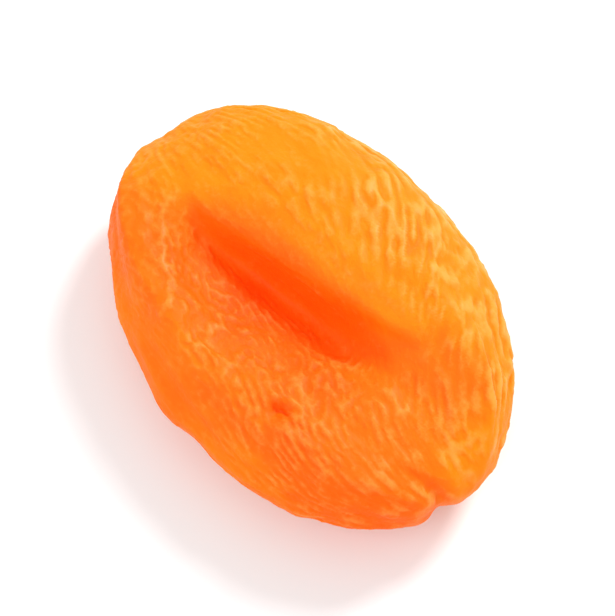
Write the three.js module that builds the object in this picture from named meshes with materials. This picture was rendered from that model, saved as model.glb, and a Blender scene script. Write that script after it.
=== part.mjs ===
// A whole dried apricot, stoned and pressed flat, lying with its fold upwards.
// +X runs from the stem end to the blossom end, +Y towards the higher cheek, and +Z up.
// The origin is on the surface that it lies on, under the middle of its length and width.
// All sizes are in millimetres.

import * as THREE from "three";
import { ImprovedNoise } from "three/addons/math/ImprovedNoise.js";

// Driving dimensions
const LENGTH = 42;
const WIDTH = 30;
const THICKNESS = 13;

const HALF_LENGTH = LENGTH / 2;
const HALF_WIDTH = WIDTH / 2;
const RIM_HEIGHT = 0.46 * THICKNESS;

// The skin is a net of rings round the long axis, one at each station from end to end.
// The rings next to the two ends are short, so they keep only some of their points.
const STATIONS = 54;
const END_STATIONS = [
  { upTo: 1, stride: 8 },
  { upTo: 2, stride: 4 },
  { upTo: 4, stride: 2 },
];

// A value that flows along the fruit through keys of [share of the half length, value].
function flow(...keys) {
  const curve = new THREE.CubicInterpolant(
    keys.map(([share]) => share),
    keys.map(([, value]) => value),
    1,
  );
  return (u) => curve.evaluate(u)[0];
}

// The outline seen from above: an oval that narrows sooner towards the stem end, but ends bluntly.
const STEM_OVAL = { flankPower: 1.6, endPower: 0.41 };
const BLOSSOM_OVAL = { flankPower: 2, endPower: 0.5 };
function halfWidthAt(u) {
  const { flankPower, endPower } = u < 0 ? STEM_OVAL : BLOSSOM_OVAL;
  return HALF_WIDTH * Math.max(0, 1 - Math.abs(u) ** flankPower) ** endPower;
}

// How much of the height above the rim, or of the depth below it, stands at a station.
const TOP_END_POWER = 3.6;
const BELLY_END_POWER = 2.8;
function endShare(u, power) {
  return Math.sqrt(Math.max(0, 1 - Math.abs(u) ** power));
}

// The fold where the stone was. It opens as a narrow wedge near the stem end, lies deepest under
// the steep lip of the higher cheek, and widens and rises before it meets the blossom end.
// All but the depth are shares of the half width: where the lip stands, how far its wall runs
// across to the deepest line, and how far the floor runs from there to the lower cheek.
const foldDepth = flow(
  [-0.71, 0], [-0.58, 0.12], [-0.43, 0.62], [-0.2, 0.98], [0.06, 1],
  [0.28, 0.7], [0.48, 0.34], [0.68, 0.12], [0.88, 0],
);
const lipPlace = flow(
  [-1, -0.1], [-0.57, -0.23], [-0.24, -0.06], [0.02, 0.06], [0.27, 0.19], [0.6, 0.46], [1, 0.4],
);
const lipRun = flow(
  [-1, 0.24], [-0.7, 0.16], [-0.5, 0.09], [0.08, 0.1], [0.32, 0.2], [0.55, 0.4], [1, 0.44],
);
const floorRun = flow([-1, 0.4], [-0.6, 0.3], [-0.3, 0.43], [0, 0.49], [0.5, 0.46], [1, 0.36]);

// Heights of the crests of the two cheeks.
const highCheek = flow([-1, 11.8], [-0.5, 12.5], [0, 12.9], [0.4, 12.6], [0.75, 12.0], [1, 11.6]);
const lowCheek = flow([-1, 11.6], [-0.6, 11.2], [-0.2, 10.7], [0.3, 10.5], [0.7, 10.9], [1, 11.4]);

// One ring: its corners, as [skin points up to the next corner, share of the half width, height].
function ringCorners(u) {
  const high = highCheek(u);
  const low = lowCheek(u);
  const depth = foldDepth(u);
  const lip = lipPlace(u);
  const run = lipRun(u);
  const floor = lip - run;
  const foot = floor - floorRun(u);
  const sunk = (share, drop) => {
    const level = THREE.MathUtils.lerp(low, high, THREE.MathUtils.smoothstep(share, -0.7, 0.6));
    return [share, level - drop * depth];
  };
  return [
    [6, 1, RIM_HEIGHT + 0.3],
    [6, 0.93, high - 3.3],
    [6, 0.74, high - 0.8],
    [6, THREE.MathUtils.lerp(lip, 1, 0.42), high],
    [5, ...sunk(lip + 0.11, 0.1)],
    [5, ...sunk(lip, 0.75)],
    [5, ...sunk(lip - 0.3 * run, 2.8)],
    [5, ...sunk(floor, 5.3)],
    [5, ...sunk(THREE.MathUtils.lerp(floor, foot, 0.4), 3.5)],
    [6, ...sunk(foot, 1)],
    [6, THREE.MathUtils.lerp(foot, -1, 0.4), low],
    [6, -0.88, low - 2.2],
    [5, -1, RIM_HEIGHT - 0.5],
    [5, -0.9, 2.9],
    [5, -0.6, 0.9],
    [5, -0.28, 0],
    [5, 0.05, -0.25],
    [5, 0.35, 0],
    [5, 0.66, 1.1],
    [5, 0.92, 3.2],
  ];
}

// All the skin points of one ring.
function ringPoints(u, stride) {
  const corners = ringCorners(u);
  const places = corners.map(([, share, height]) => {
    const standing = endShare(u, height > RIM_HEIGHT ? TOP_END_POWER : BELLY_END_POWER);
    const y = share * halfWidthAt(u);
    return new THREE.Vector3(u * HALF_LENGTH, y, RIM_HEIGHT + (height - RIM_HEIGHT) * standing);
  });
  const curve = new THREE.CatmullRomCurve3(places, true);
  const points = [];
  corners.forEach(([count], i) => {
    for (let j = 0; j < count; j++) points.push(curve.getPoint((i + j / count) / corners.length));
  });
  return points.filter((_, i) => i % stride === 0);
}

// Triangles between two neighbouring rings, which may have different numbers of points.
function stitch(from, to, faces) {
  let i = 0;
  let j = 0;
  while (i < from.count || j < to.count) {
    const a = from.start + (i % from.count);
    const b = to.start + (j % to.count);
    const stepFrom = (i + 1) / from.count;
    const stepTo = (j + 1) / to.count;
    if (j >= to.count || (i < from.count && stepFrom <= stepTo)) {
      faces.push(b, a, from.start + ((i + 1) % from.count));
      i++;
    } else {
      faces.push(b, a, to.start + ((j + 1) % to.count));
      j++;
    }
  }
}

function smoothSkin() {
  const points = [new THREE.Vector3(-HALF_LENGTH, 0, RIM_HEIGHT)];
  const faces = [];
  let last = null;
  for (let station = 1; station < STATIONS; station++) {
    const fromEnd = Math.min(station, STATIONS - station);
    const sparse = END_STATIONS.find(({ upTo }) => fromEnd <= upTo);
    const u = -Math.cos((Math.PI * station) / STATIONS);
    const ring = ringPoints(u, sparse ? sparse.stride : 1);
    const now = { start: points.length, count: ring.length };
    points.push(...ring);
    if (last) {
      stitch(last, now, faces);
    } else {
      for (let i = 0; i < now.count; i++) faces.push(0, now.start + ((i + 1) % now.count), now.start + i);
    }
    last = now;
  }
  const tip = points.push(new THREE.Vector3(HALF_LENGTH, 0, RIM_HEIGHT)) - 1;
  for (let i = 0; i < last.count; i++) faces.push(tip, last.start + i, last.start + ((i + 1) % last.count));
  const geometry = new THREE.BufferGeometry().setFromPoints(points);
  geometry.setIndex(faces);
  geometry.computeVertexNormals();
  return geometry;
}

// Wrinkles are raised threads that run from end to end and draw together at both ends, as the
// skin shrank on drying. They wander from side to side, and wider waves lie under them. Both are
// drawn tight along the lip of the fold, and pressed out where the fruit lies on its belly.
const THREAD = { pitch: 2.6, length: 9, height: 0.5, ground: 0.3, sharpness: 3.2 };
const WANDER = { reach: 1.8, length: 6 };
const WAVE = { length: 5, height: 0.35 };
const END_GATHER = 0.3;
const TIGHT = { reach: 3.2, share: 0.8 };
const PRESSED = { from: -0.2, to: 1.8 };
const noise = new ImprovedNoise();
function noiseAt(point, length, shift) {
  return noise.noise(point.x / length + shift, point.y / length + shift, point.z / length);
}
function wrinkle(point) {
  const u = THREE.MathUtils.clamp(point.x / HALF_LENGTH, -1, 1);
  const gather = THREE.MathUtils.lerp(END_GATHER, 1, halfWidthAt(u) / HALF_WIDTH);
  const wander = WANDER.reach * noiseAt(point, WANDER.length, 3.1);
  const across = (point.y / gather + wander) / THREAD.pitch;
  const up = ((point.z - RIM_HEIGHT) / gather - wander) / THREAD.pitch;
  const fromThread = THREAD.sharpness * noise.noise(point.x / THREAD.length, across, up);
  const thread = THREAD.height * Math.exp(-(fromThread ** 2)) - THREAD.ground;
  const relief = thread + WAVE.height * noiseAt(point, WAVE.length, 9.4);
  const fromLip = (point.y - lipPlace(u) * halfWidthAt(u)) / TIGHT.reach;
  const onTop = THREE.MathUtils.smoothstep(point.z, RIM_HEIGHT - 1, RIM_HEIGHT + 1);
  const slack = 1 - TIGHT.share * onTop * foldDepth(u) * Math.exp(-(fromLip ** 2));
  return gather * slack * relief * THREE.MathUtils.smoothstep(point.z, PRESSED.from, PRESSED.to);
}

// The suture pinches the rim at the blossom end, and the stem left a round scar at the other end.
const SUTURE = { y: -1.6, width: 0.9, depth: 0.9, from: 0.86 };
const STEM_SCAR = { y: 0.4, height: RIM_HEIGHT - 0.4, radius: 1.6, depth: 0.7 };
function endMarks(point) {
  const u = point.x / HALF_LENGTH;
  const reach = THREE.MathUtils.smoothstep(u, SUTURE.from, 1);
  const suture = SUTURE.depth * reach * Math.exp(-(((point.y - SUTURE.y) / SUTURE.width) ** 2));
  const fromScar = Math.hypot(point.x + HALF_LENGTH, point.y - STEM_SCAR.y, point.z - STEM_SCAR.height);
  const scar = STEM_SCAR.depth * Math.exp(-((fromScar / STEM_SCAR.radius) ** 2));
  return suture + scar;
}

function apricotGeometry() {
  const geometry = smoothSkin();
  const position = geometry.getAttribute("position");
  const normal = geometry.getAttribute("normal");
  const point = new THREE.Vector3();
  const outward = new THREE.Vector3();
  for (let i = 0; i < position.count; i++) {
    point.fromBufferAttribute(position, i);
    outward.fromBufferAttribute(normal, i);
    point.addScaledVector(outward, wrinkle(point) - endMarks(point));
    point.z = Math.max(point.z, 0);
    position.setXYZ(i, point.x, point.y, point.z);
  }
  geometry.computeBoundingBox();
  const { min, max } = geometry.boundingBox;
  geometry.translate(-(min.x + max.x) / 2, -(min.y + max.y) / 2, -min.z);
  geometry.scale(LENGTH / (max.x - min.x), WIDTH / (max.y - min.y), THICKNESS / (max.z - min.z));
  geometry.computeVertexNormals();
  return geometry;
}

const skin = new THREE.MeshStandardMaterial({ color: 0xf28c1e, roughness: 0.5, metalness: 0 });
const apricot = new THREE.Mesh(apricotGeometry(), skin);
apricot.name = "apricot";

const part = new THREE.Group();
part.add(apricot);

export default part;
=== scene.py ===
# The looks of a whole dried apricot that lies on a white surface with its fold up.
# +X runs from the stem end to the blossom end, +Y towards the higher cheek, and +Z up, in metres.

import math

import bpy
import numpy as np
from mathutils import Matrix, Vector, noise


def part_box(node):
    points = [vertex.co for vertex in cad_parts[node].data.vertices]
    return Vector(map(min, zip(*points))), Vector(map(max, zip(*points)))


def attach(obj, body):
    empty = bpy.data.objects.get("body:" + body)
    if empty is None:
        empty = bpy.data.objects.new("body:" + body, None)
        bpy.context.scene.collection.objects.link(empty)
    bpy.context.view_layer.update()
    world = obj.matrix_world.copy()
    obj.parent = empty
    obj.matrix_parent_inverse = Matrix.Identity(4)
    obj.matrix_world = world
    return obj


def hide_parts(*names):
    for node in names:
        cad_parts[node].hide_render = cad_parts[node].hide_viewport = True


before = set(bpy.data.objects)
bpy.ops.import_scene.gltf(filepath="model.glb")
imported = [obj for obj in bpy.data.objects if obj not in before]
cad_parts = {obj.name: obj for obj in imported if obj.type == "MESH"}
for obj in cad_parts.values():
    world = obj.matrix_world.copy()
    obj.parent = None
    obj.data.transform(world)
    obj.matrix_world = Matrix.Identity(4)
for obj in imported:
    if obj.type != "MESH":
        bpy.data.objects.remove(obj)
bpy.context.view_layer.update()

MM = 0.001
LOW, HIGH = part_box("apricot")
CENTRE = (LOW + HIGH) / 2
HALF_LENGTH, HALF_WIDTH, THICKNESS = (HIGH.x - LOW.x) / 2, (HIGH.y - LOW.y) / 2, HIGH.z - LOW.z
RIM_HEIGHT = 0.46 * THICKNESS

# The even skin that carries the wrinkles
SKIN_CELL = 0.2 * MM
SMOOTHING_ROUNDS = 8

# How far apart the ridges of each kind lie
BROAD_PITCH = 2.2 * MM
COARSE_PITCH = 1.7 * MM
CLOSE_PITCH = 1.05 * MM
FINE_PITCH = 0.7 * MM

# How high the ridges stand, in millimetres, and how far the ground between them is let down
THREAD_HEIGHT = 0.18
LESS_ON_NET = 0.05
MORE_ON_FAR_CHEEK = 0.08
FINE_HEIGHT = 0.05
WAVE_HEIGHT = 0.12
GROUND_DEPTH = 0.14

# Wavelengths of the noise that makes the wrinkles uneven
WAVE_LENGTH = 2.6 * MM
FLAKE_LENGTH = 1.9 * MM
COARSE_PATCH_LENGTH = 3.5 * MM
PATCH_LENGTH = 6.5 * MM

# Lines on the top of the fruit, through points of length and width, in millimetres
LIP = ((-13, -2), (-8, 0), (-3, 1.5), (3, 3.2), (7, 4))
# The crown of the lip, along which a painted highlight is drawn
LIT_LIP = ((-12.5, -1.8), (-8, -0.1), (-3, 1.7), (3, 3.5), (6.5, 4.6))
SMOOTH_CHEEK = ((-12, 5.5), (-7.5, 8))
FOLD_END = ((7, 2.6), (13, 5))
VALLEY = ((-2, -4), (5, -1), (11, 3), (14, 4.5))


# Sums over whole arrays, with one value for each vertex of the skin

def smoothstep(values, start, end):
    t = np.clip((values - start) / (end - start), 0, 1)
    return t * t * (3 - 2 * t)


def noise_at(places, wavelength, shift):
    """Smooth noise from about -1 to 1. Another shift gives another pattern."""
    shift_way = np.array([1, -1, 2])
    return np.array([noise.noise(row) for row in (places / wavelength + shift * shift_way).tolist()])


def spread_over_disc(grid, radius, pick):
    """The highest or lowest value of the grid within this many cells of each cell."""
    result = grid.copy()
    whole = int(radius)
    for column in range(-whole, whole + 1):
        for row in range(-whole, whole + 1):
            if math.hypot(column, row) <= radius:
                pick(result, np.roll(grid, (column, row), axis=(0, 1)), out=result)
    return result


class Skin:
    """The fruit's skin as arrays, and the ways in which it buckled as it dried."""

    # How far one step of blur() spreads a value, as a share of the mesh's spacing, squared
    STEP_SPREAD = 0.6
    # How much more it spreads along the flow of the wrinkles, and in how narrow a direction
    LEAN = 12.0
    NARROWNESS = 8
    # How strongly the wrinkles draw together at the two ends, and how far they slant on the top
    GATHER = 0.85
    SLANT = 0.75
    # How many places on each side of a vertex streaks() takes its mean over
    STREAK_STEPS = 6
    # The pitch of the ridges in radii of buckle()'s narrow blur, how many times as many steps the
    # wide blur takes, and how sharply the ridges part from the ground between them
    PITCH_IN_RADII = 6.5
    WIDE = 3
    SHARPNESS = 1.6

    def __init__(self, mesh):
        self.mesh = mesh
        self.count = len(mesh.vertices)
        places = np.empty(self.count * 3)
        mesh.vertices.foreach_get("co", places)
        self.places = places.reshape(-1, 3)
        normals = np.empty(self.count * 3)
        mesh.vertex_normals.foreach_get("vector", normals)
        self.normals = normals.reshape(-1, 3)
        self.x, self.y, self.z = self.places.T.copy()
        self.u = self.x / HALF_LENGTH
        self.side = self.y / HALF_WIDTH
        upper = smoothstep(self.z, 0.3 * THICKNESS, 0.5 * THICKNESS)
        self.top = smoothstep(self.normals[:, 2], -0.1, 0.35) * upper
        self.find_neighbours()

    def find_neighbours(self):
        """Pairs of vertices that share a face, with more weight along the flow of the wrinkles."""
        corners = np.empty(len(self.mesh.loops), dtype=np.int32)
        self.mesh.loops.foreach_get("vertex_index", corners)
        corners = corners.reshape(-1, 4)
        edges = np.empty(len(self.mesh.edges) * 2, dtype=np.int32)
        self.mesh.edges.foreach_get("vertices", edges)
        pairs = np.concatenate([edges.reshape(-1, 2), corners[:, [0, 2]], corners[:, [1, 3]]])
        pairs = np.concatenate([pairs, pairs[:, ::-1]])
        self.here, self.there = pairs[np.argsort(pairs[:, 0], kind="stable")].T
        steps = self.places[self.there] - self.places[self.here]
        lengths = np.linalg.norm(steps, axis=1)
        self.spacing = np.median(lengths)
        flow = self.flow_at(self.places)
        flow -= self.normals * (flow * self.normals).sum(axis=1)[:, None]
        flow /= np.linalg.norm(flow, axis=1)[:, None] + 1e-9
        along = np.abs((steps * flow[self.here]).sum(axis=1)) / lengths
        self.weights = 1 + self.LEAN * self.lean()[self.here] * along ** self.NARROWNESS
        self.totals = np.bincount(self.here, self.weights, self.count)

    def flow_at(self, places):
        """The way that the wrinkles run: from end to end, but aslant over the middle of the top."""
        x, y, z = places.T
        u = x / HALF_LENGTH
        from_middle = np.sqrt(0.03 + u ** 2)
        turn = -self.GATHER * u / from_middle / HALF_LENGTH / (1.15 - self.GATHER * from_middle)
        middle = 1 - smoothstep(np.abs(u - 0.1), 0.3, 0.9)
        slanted = np.maximum(smoothstep(y / HALF_WIDTH, -0.1, 0.5), 0.9 * smoothstep(u, -0.1, 0.3))
        slant = self.SLANT * self.top * middle * slanted
        flow = np.stack([np.ones(self.count), y * turn - slant, (z - RIM_HEIGHT) * turn], axis=1)
        return flow / np.linalg.norm(flow, axis=1)[:, None]

    def lean(self):
        """How drawn out the wrinkles are: little in the net, and most towards the blossom end."""
        return 1 - 0.8 * self.net() + 2 * smoothstep(self.u, 0.3, 0.8)

    def net(self):
        """1 where the wrinkles are a net: on the lower cheek, but for its blossom end."""
        return self.top * (1 - smoothstep(self.side, -0.5, 0.0)) * (1 - smoothstep(self.u, 0.0, 0.35))

    def blur(self, values, steps):
        """Mixes every value with those around it, mostly along the flow of the wrinkles."""
        for _ in range(steps):
            around = np.bincount(self.here, self.weights * values[self.there], self.count) / self.totals
            values = 0.2 * values + 0.8 * around
        return values

    def noise(self, wavelength, shift):
        return noise_at(self.places, wavelength, shift)

    def streaks(self, wavelength, reach, shift):
        """Noise drawn out along the flow: its mean over a stretch of the line through each vertex.
        In the net it stays even."""
        even = self.noise(wavelength, shift)
        total = even.copy()
        for way in (-1, 1):
            places = self.places.copy()
            for _ in range(self.STREAK_STEPS):
                places += self.flow_at(places) * way * reach / self.STREAK_STEPS
                total += noise_at(places, wavelength, shift)
        net = self.net()
        return (1 - net) * total / np.std(total) + net * even / np.std(even)

    def buckle(self, pitch, joined, shift, rounds=5):
        """Ridges that push each other apart until they lie evenly, from 0 between them to 1.
        The more they are joined, the smaller the pits between them."""
        step = self.STEP_SPREAD * self.spacing ** 2
        near = max(1, round((pitch / self.PITCH_IN_RADII) ** 2 / step))
        ridges = self.streaks(0.45 * pitch, 1.6 * pitch, shift)
        for _ in range(rounds):
            narrow = self.blur(ridges, near)
            wide = self.blur(narrow, self.WIDE * near)
            ridges = np.tanh(self.SHARPNESS * (narrow - wide) / np.std(narrow - wide) + joined)
        ridges = self.blur(ridges, 1)
        return smoothstep(ridges, -0.9, 0.9)

    def fold_depth(self, reach):
        """How far the top lies below a skin stretched over every hollow up to twice this reach."""
        cell = 0.3 * MM
        margin = int(reach / cell) + 2
        columns = np.round((self.x - LOW.x) / cell).astype(int) + margin
        rows = np.round((self.y - LOW.y) / cell).astype(int) + margin
        heights = np.zeros((columns.max() + margin, rows.max() + margin))
        np.maximum.at(heights, (columns, rows), self.z)
        raised = spread_over_disc(heights, reach / cell, np.maximum)
        stretched = spread_over_disc(raised, reach / cell, np.minimum)
        return self.top * np.maximum(stretched[columns, rows] - self.z, 0)

    def along_line(self, width, *points):
        """1 along a line through these plan places on the top, in millimetres, 0 away from it."""
        place = np.stack([self.x, self.y], axis=1) / MM
        nearest = np.full(self.count, np.inf)
        for start, end in zip(points, points[1:]):
            start, run = np.array(start), np.array(end) - np.array(start)
            share = np.clip(((place - start) @ run) / (run @ run), 0, 1)
            nearest = np.minimum(nearest, np.linalg.norm(place - start - share[:, None] * run, axis=1))
        return self.top * np.exp(-((nearest / width) ** 2))

    def push(self, heights):
        """Moves every vertex out along its normal."""
        self.places += self.normals * heights[:, None]

    def settle(self):
        """Brings the skin back to exactly the fruit's own box, with no vertex under the surface."""
        self.places[:, 2] = np.maximum(self.places[:, 2], LOW.z)
        low, high = self.places.min(axis=0), self.places.max(axis=0)
        self.places = np.array(LOW) + (self.places - low) / (high - low) * np.array(HIGH - LOW)
        self.mesh.vertices.foreach_set("co", self.places.ravel())
        self.mesh.update()

    def keep(self, name, values):
        """Keeps one number from 0 to 1 a vertex for the material to read."""
        attribute = self.mesh.attributes.new(name, "FLOAT", "POINT")
        attribute.data.foreach_set("value", np.clip(values, 0, 1).astype(np.float32))


# The fruit

def apply_modifier(piece, kind, **settings):
    modifier = piece.modifiers.new(kind.lower(), kind)
    for name, value in settings.items():
        setattr(modifier, name, value)
    bpy.ops.object.modifier_apply(modifier=modifier.name)


def smooth_fruit():
    """The fruit's own form as one smooth, even skin, fine enough to carry its wrinkles."""
    fruit = bpy.data.objects.new("apricot_skin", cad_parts["apricot"].data.copy())
    bpy.context.scene.collection.objects.link(fruit)
    bpy.ops.object.select_all(action="DESELECT")
    fruit.select_set(True)
    bpy.context.view_layer.objects.active = fruit
    bpy.ops.object.mode_set(mode="EDIT")
    bpy.ops.mesh.select_all(action="SELECT")
    bpy.ops.mesh.customdata_custom_splitnormals_clear()
    bpy.ops.mesh.remove_doubles(threshold=0.001 * MM)
    bpy.ops.mesh.tris_convert_to_quads(face_threshold=math.radians(60), shape_threshold=math.radians(60))
    bpy.ops.object.mode_set(mode="OBJECT")
    apply_modifier(fruit, "SUBSURF", levels=1, render_levels=1)
    apply_modifier(fruit, "REMESH", mode="VOXEL", voxel_size=SKIN_CELL)
    apply_modifier(fruit, "SMOOTH", factor=0.5, iterations=SMOOTHING_ROUNDS)
    bpy.ops.object.shade_smooth()
    return fruit


def roughness_of(skin, depth, wall, patches):
    """How calm the skin is drawn, and how rough that leaves it: 1 where it is fully wrinkled."""
    floor = smoothstep(depth, 1.8 * MM, 4.4 * MM)
    stem_rim = skin.top * smoothstep(-skin.u, 0.35, 0.7)
    low_edge = smoothstep(-skin.side, 0.62, 0.9) * (1 - smoothstep(skin.u, 0.3, 0.7))
    calm = 0.8 * np.maximum(floor, wall)
    calm = calm + 0.8 * skin.along_line(2.2, *LIP)
    calm = calm + 0.7 * skin.along_line(2.6, *SMOOTH_CHEEK)
    calm = calm + 0.7 * skin.along_line(2.6, *FOLD_END)
    calm = calm + 0.2 * stem_rim + 0.5 * low_edge
    calm = np.clip(calm + 0.35 * patches, 0, 0.9)
    pressed = smoothstep(skin.z, 0.1 * MM, 1.5 * MM)
    ends = 0.35 + 0.65 * (1 - smoothstep(np.abs(skin.u), 0.86, 1.0))
    return calm, (1 - calm) * ends * pressed


def threads_of(skin, far_cheek, far_rim, patches):
    """The crests of the wrinkles, broken into short flakes of uneven height."""
    coarse = skin.buckle(COARSE_PITCH, 0.3, 1.3)
    close = skin.buckle(CLOSE_PITCH, 0.35, 3.6)
    broad = skin.buckle(BROAD_PITCH, 0.2, 2.4)
    where_coarse = skin.noise(COARSE_PATCH_LENGTH, 6.1) + 0.8 * far_cheek - 0.1
    threads = close + (coarse - close) * smoothstep(where_coarse, -0.15, 0.25)
    threads += (broad - threads) * 0.75 * far_rim
    # A higher power makes the crests thinner.
    threads = threads ** (1.4 + 0.3 * skin.net() - 0.6 * np.maximum(far_cheek, far_rim))
    flakes = smoothstep(skin.noise(FLAKE_LENGTH, 3.3) + 0.6 * patches, -0.55, 0.35)
    return threads * (0.3 + 0.7 * flakes)


def single_marks(skin):
    """The ridges and hollows that stand alone on the top, as heights in millimetres."""
    round_fold_start = skin.along_line(0.4, (-13.7, -3.7), (-12.7, -6), (-9.6, -7.9), (-7.3, -8.4))
    at_blossom_end = skin.along_line(0.3, (12.5, 4.1), (15, 3.4), (16.9, 2.2))
    beside_pit = skin.along_line(0.5, (6.4, -8.4), (6.3, -7.6))
    bump = skin.along_line(0.6, (-6.6, 4.3), (-5.8, 5.2))
    low_cheek_edge = skin.along_line(0.5, (8.3, -8.9), (11.5, -7.8), (13.5, -8.2), (16.9, -5.4))
    pit = skin.along_line(0.65, (7.0, -8.2), (7.5, -7.7))
    dimple = skin.along_line(0.9, (-2.9, -9.1), (-2.1, -9.7))
    ridges = 0.22 * round_fold_start + 0.16 * at_blossom_end + 0.12 * beside_pit
    return ridges + 0.1 * bump + 0.14 * low_cheek_edge - 1.0 * pit - 0.25 * dimple


def wrinkle(fruit):
    """Raises the threads and the net of the dried skin, and keeps where they are for the colours, with the
    painted highlight, glow and shade that the colours draw.
    """
    skin = Skin(fruit.data)
    u, side = skin.u, skin.side
    depth = skin.fold_depth(5.5 * MM)
    steep = skin.blur(np.maximum(-skin.normals[:, 1], 0), 6)
    wall = smoothstep(steep, 0.1, 0.45) * smoothstep(depth, 0.05 * MM, 0.6 * MM)
    patches = skin.noise(PATCH_LENGTH, 4.4)
    far_cheek = smoothstep(1.1 * side + 0.5 * u, 0.15, 0.8)
    far_rim = smoothstep(np.hypot(u, side), 0.6, 0.88) * smoothstep(u + 0.7 * side, 0.15, 0.7)
    calm, rough = roughness_of(skin, depth, wall, patches)
    threads = threads_of(skin, far_cheek, far_rim, patches)
    fine = skin.buckle(FINE_PITCH, 0.0, 5.1, rounds=4)
    waves = skin.noise(WAVE_LENGTH, 8.8)
    marks = single_marks(skin)

    height = THREAD_HEIGHT - LESS_ON_NET * skin.net() + MORE_ON_FAR_CHEEK * far_cheek
    relief = height * threads + FINE_HEIGHT * fine + WAVE_HEIGHT * waves - GROUND_DEPTH
    skin.push(MM * (rough * relief + marks))
    skin.settle()

    # How pale the crests are: partly the skin's own paler ridges and partly a painted highlight and sheen on
    # them, with a painted highlight and shade on the far, lit part of the higher cheek
    crest_and_sheen = (0.15 + 0.85 * rough) * (0.75 * threads + 0.35 * fine - 0.15)
    # Painted highlight on the crests and painted shade in the creases of the far, lit side, and a painted
    # highlight on its rim
    far_side_light_and_shade = 0.45 * np.maximum(far_rim, far_cheek) * (threads - 0.4)
    # A painted highlight along the lit crown of the lip
    crest_and_sheen += (0.05 * far_rim + far_side_light_and_shade) * (1 - 0.7 * calm) + 0.2 * skin.along_line(0.9, *LIT_LIP)
    skin.keep("crest_and_sheen", skin.blur(crest_and_sheen, 1) + 2 * np.clip(marks, 0, 1))

    # How red the skin is drawn: mostly painted shade on the unlit wall under the lip, deep in the fold and in
    # the pit, with a little of the flesh's own redder colour
    fold_red_and_shade = skin.blur(np.maximum(wall, smoothstep(depth, 1.4 * MM, 4.6 * MM)), 6)
    fold_red_and_shade *= 0.1 + 0.9 * smoothstep(u, -0.45, 0.15)
    skin.keep("fold_red_and_shade", np.maximum(fold_red_and_shade, -1.2 * marks))

    # How deep an orange the skin is, from yellow to deep orange: least on the higher cheek, with a painted
    # glow on the low edge and painted shade along the valley
    stem_end = smoothstep(-u, 0.3, 0.8)
    yellow_and_glow = 0.5 * smoothstep(side + 0.45 * stem_end, -0.3, 0.25) + 0.1 * smoothstep(u, 0.6, 1.0)
    # A painted glow of light shining through the low edge
    yellow_and_glow += 0.35 * smoothstep(-side, 0.5, 0.85)
    # Yellower crests, which go with their partly painted sheen
    yellow_and_glow += (0.05 + 0.15 * far_cheek) * (threads - 0.5) * rough
    # Painted shade: deeper orange along the valley below the fold
    shaded_valley = skin.along_line(3.5, *VALLEY)
    skin.keep("tone_glow_and_shade", 0.7 - yellow_and_glow + 0.3 * shaded_valley + 0.12 * patches + 0.1 * (1 - skin.top))


# Materials

class Socket:
    """One output of a node. Sums with it add Math nodes."""

    def __init__(self, maker, output):
        self.maker = maker
        self.output = output

    def math(self, operation, first, second):
        return self.maker.node("ShaderNodeMath", {"operation": operation}, {0: first, 1: second})

    def __add__(self, other):
        return self.math("ADD", self, other)

    def __mul__(self, other):
        return self.math("MULTIPLY", self, other)

    def __sub__(self, other):
        return self.math("SUBTRACT", self, other)

    def __rsub__(self, other):
        return self.math("SUBTRACT", other, self)


class Maker:
    """Builds one material's nodes."""

    def __init__(self, name):
        self.material = bpy.data.materials.new(name)
        self.material.use_nodes = True
        self.tree = self.material.node_tree
        self.shader = self.tree.nodes["Principled BSDF"]

    def node(self, kind, settings=None, sockets=None, output=0):
        made = self.tree.nodes.new(kind)
        for name, value in (settings or {}).items():
            setattr(made, name, value)
        self.fill(made, sockets or {})
        return Socket(self, made.outputs[output])

    def fill(self, made, sockets):
        for name, value in sockets.items():
            if isinstance(value, Socket):
                self.tree.links.new(value.output, made.inputs[name])
            else:
                made.inputs[name].default_value = value

    def attribute(self, name):
        return self.node("ShaderNodeAttribute", {"attribute_name": name}, output="Fac")

    def noise(self, wavelength, detail=2.0, roughness=0.5):
        """Smooth noise from 0 to 1 through the piece."""
        place = self.node("ShaderNodeTexCoord", output="Object")
        sockets = {"Vector": place, "Scale": 1 / wavelength, "Detail": detail, "Roughness": roughness}
        return self.node("ShaderNodeTexNoise", None, sockets, output="Fac")

    def ramp(self, value, start, end):
        """0 up to start, 1 from end on, and smooth between."""
        settings = {"interpolation_type": "SMOOTHSTEP"}
        return self.node("ShaderNodeMapRange", settings, {"Value": value, "From Min": start, "From Max": end})

    def blend(self, share, first, second):
        """One colour over another."""
        settings = {"data_type": "RGBA"}
        return self.node("ShaderNodeMix", settings, {0: share, 6: first, 7: second}, output=2)


# Colours of the fruit and of the surface, as they look under white light
YELLOW = (1.0, 0.225, 0.003, 1)
ORANGE = (1.0, 0.15, 0.003, 1)
DEEP_ORANGE = (1.0, 0.09, 0.002, 1)
# The fold red is mostly painted shade for the fold, the wall under the lip and the pit.
FOLD_SHADE_RED = (1.0, 0.105, 0.001, 1)
# The pale thread colour is partly painted sheen on the crests.
PALE_THREAD_AND_SHEEN = (1.0, 0.37, 0.07, 1)
WHITE = (0.92, 0.92, 0.92, 1)

# Wavelengths of the skin's uneven colour and grain
STAIN_LENGTH = 5 * MM
MOTTLE_LENGTH = 1.1 * MM
SPECK_LENGTH = 0.4 * MM
GRAIN_LENGTH = 0.22 * MM


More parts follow.
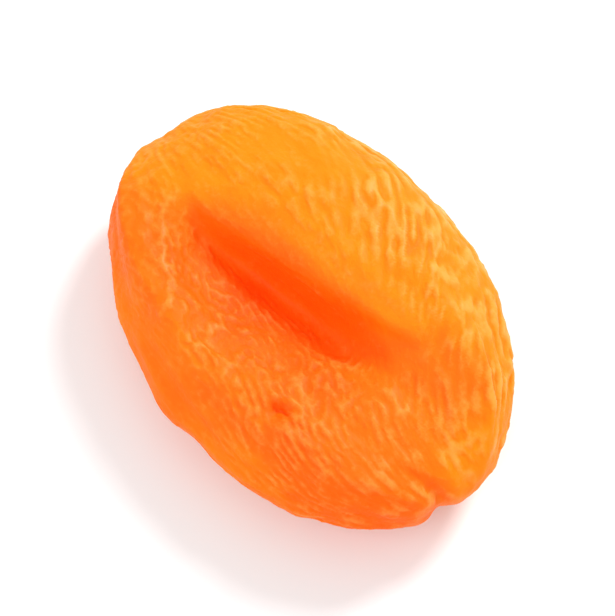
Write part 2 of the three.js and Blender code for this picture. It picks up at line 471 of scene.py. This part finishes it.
def dried_skin():
    """Satin, a little translucent, paler along the threads, partly as painted sheen, and redder in the fold
    and under the lip, mostly as painted shade.
    """
    make = Maker("dried_apricot_skin")
    crest_and_sheen = make.attribute("crest_and_sheen")
    fold_red_and_shade = make.attribute("fold_red_and_shade")
    tone_glow_and_shade = make.attribute("tone_glow_and_shade") + (make.noise(STAIN_LENGTH) - 0.5) * 0.4
    mottle = make.noise(MOTTLE_LENGTH, 4.0, 0.6)
    speck = make.noise(SPECK_LENGTH, 2.0, 0.6)
    grain = make.noise(GRAIN_LENGTH, 3.0, 0.6)

    colour = make.blend(make.ramp(tone_glow_and_shade, 0.2, 0.55), YELLOW, ORANGE)
    colour = make.blend(make.ramp(tone_glow_and_shade, 0.55, 1.0), colour, DEEP_ORANGE)
    # Painted shade in the fold, under the lip and in the pit.
    colour = make.blend(fold_red_and_shade * 0.75, colour, FOLD_SHADE_RED)
    # Paler crests: partly their own colour, partly painted sheen.
    pale_and_sheen = make.ramp(crest_and_sheen + (mottle - 0.5) * 0.9 + (speck - 0.5) * 0.9, 0.1, 1.1)
    # Yellow skin has paler threads than orange skin.
    colour = make.blend(pale_and_sheen * (0.66 - tone_glow_and_shade * 0.4), colour, PALE_THREAD_AND_SHEEN)
    make.fill(make.shader, {
        "Base Color": colour,
        "Roughness": 0.5 - crest_and_sheen * 0.1 + (mottle - 0.5) * 0.2,
        "Subsurface Weight": 0.3,
        "Subsurface Radius": (1.0, 0.3, 0.08),
        "Subsurface Scale": 1.0 * MM,
        "Specular IOR Level": 0.08,
        "Coat Weight": make.ramp(crest_and_sheen + (mottle - 0.5) * 0.8, 0.3, 1.1) * 0.12,
        "Coat Roughness": 0.35,
    })
    height = grain * 0.3 + speck * 0.4 + mottle
    bump = make.node("ShaderNodeBump", None, {"Height": height, "Strength": 0.8, "Distance": 0.12 * MM})
    make.fill(make.shader, {"Normal": bump})
    return make.material


def white_surface():
    make = Maker("white_surface")
    make.fill(make.shader, {"Base Color": WHITE, "Roughness": 0.7})
    return make.material


# The stage

CAMERA_AZIMUTH = 54
CAMERA_ELEVATION = 66
CAMERA_DISTANCE = 0.145
CAMERA_LENS = 100
FLOOR_SIZE = 1.6
ROOM_LIGHT = 0.75


def away(azimuth, elevation):
    a, e = math.radians(azimuth), math.radians(elevation)
    return Vector((math.sin(a) * math.cos(e), -math.cos(a) * math.cos(e), math.sin(e)))


def aim(thing, direction, distance):
    thing.location = CENTRE + direction * distance
    thing.rotation_mode = "QUATERNION"
    thing.rotation_quaternion = (-direction).to_track_quat("-Z", "Y")
    bpy.context.scene.collection.objects.link(thing)


def camera():
    lens = bpy.data.cameras.new("camera")
    lens.lens = CAMERA_LENS
    lens.clip_start = MM
    eye = bpy.data.objects.new("camera", lens)
    aim(eye, away(CAMERA_AZIMUTH, CAMERA_ELEVATION), CAMERA_DISTANCE)
    bpy.context.scene.camera = eye


def soft_light(name, azimuth, elevation, distance, size, watts):
    light = bpy.data.lights.new(name, "AREA")
    light.shape = "DISK"
    light.size = size
    light.energy = watts
    aim(bpy.data.objects.new(name, light), away(azimuth, elevation), distance)


def stage():
    bpy.ops.mesh.primitive_plane_add(size=FLOOR_SIZE, location=(0, 0, LOW.z))
    floor = bpy.context.object
    floor.name = "floor"
    floor.data.materials.append(white_surface())

    world = bpy.data.worlds.new("white_room")
    world.use_nodes = True
    world.node_tree.nodes["Background"].inputs["Color"].default_value = (1, 1, 1, 1)
    world.node_tree.nodes["Background"].inputs["Strength"].default_value = ROOM_LIGHT
    bpy.context.scene.world = world
    bpy.context.scene.view_settings.view_transform = "Standard"

    soft_light("key", CAMERA_AZIMUTH + 140, elevation=42, distance=0.35, size=0.12, watts=1.05)
    soft_light("fill", CAMERA_AZIMUTH - 50, elevation=50, distance=0.4, size=0.3, watts=0.5)


camera()
apricot = smooth_fruit()
wrinkle(apricot)
apricot.data.materials.clear()
apricot.data.materials.append(dried_skin())
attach(apricot, "root")
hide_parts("apricot")
stage()
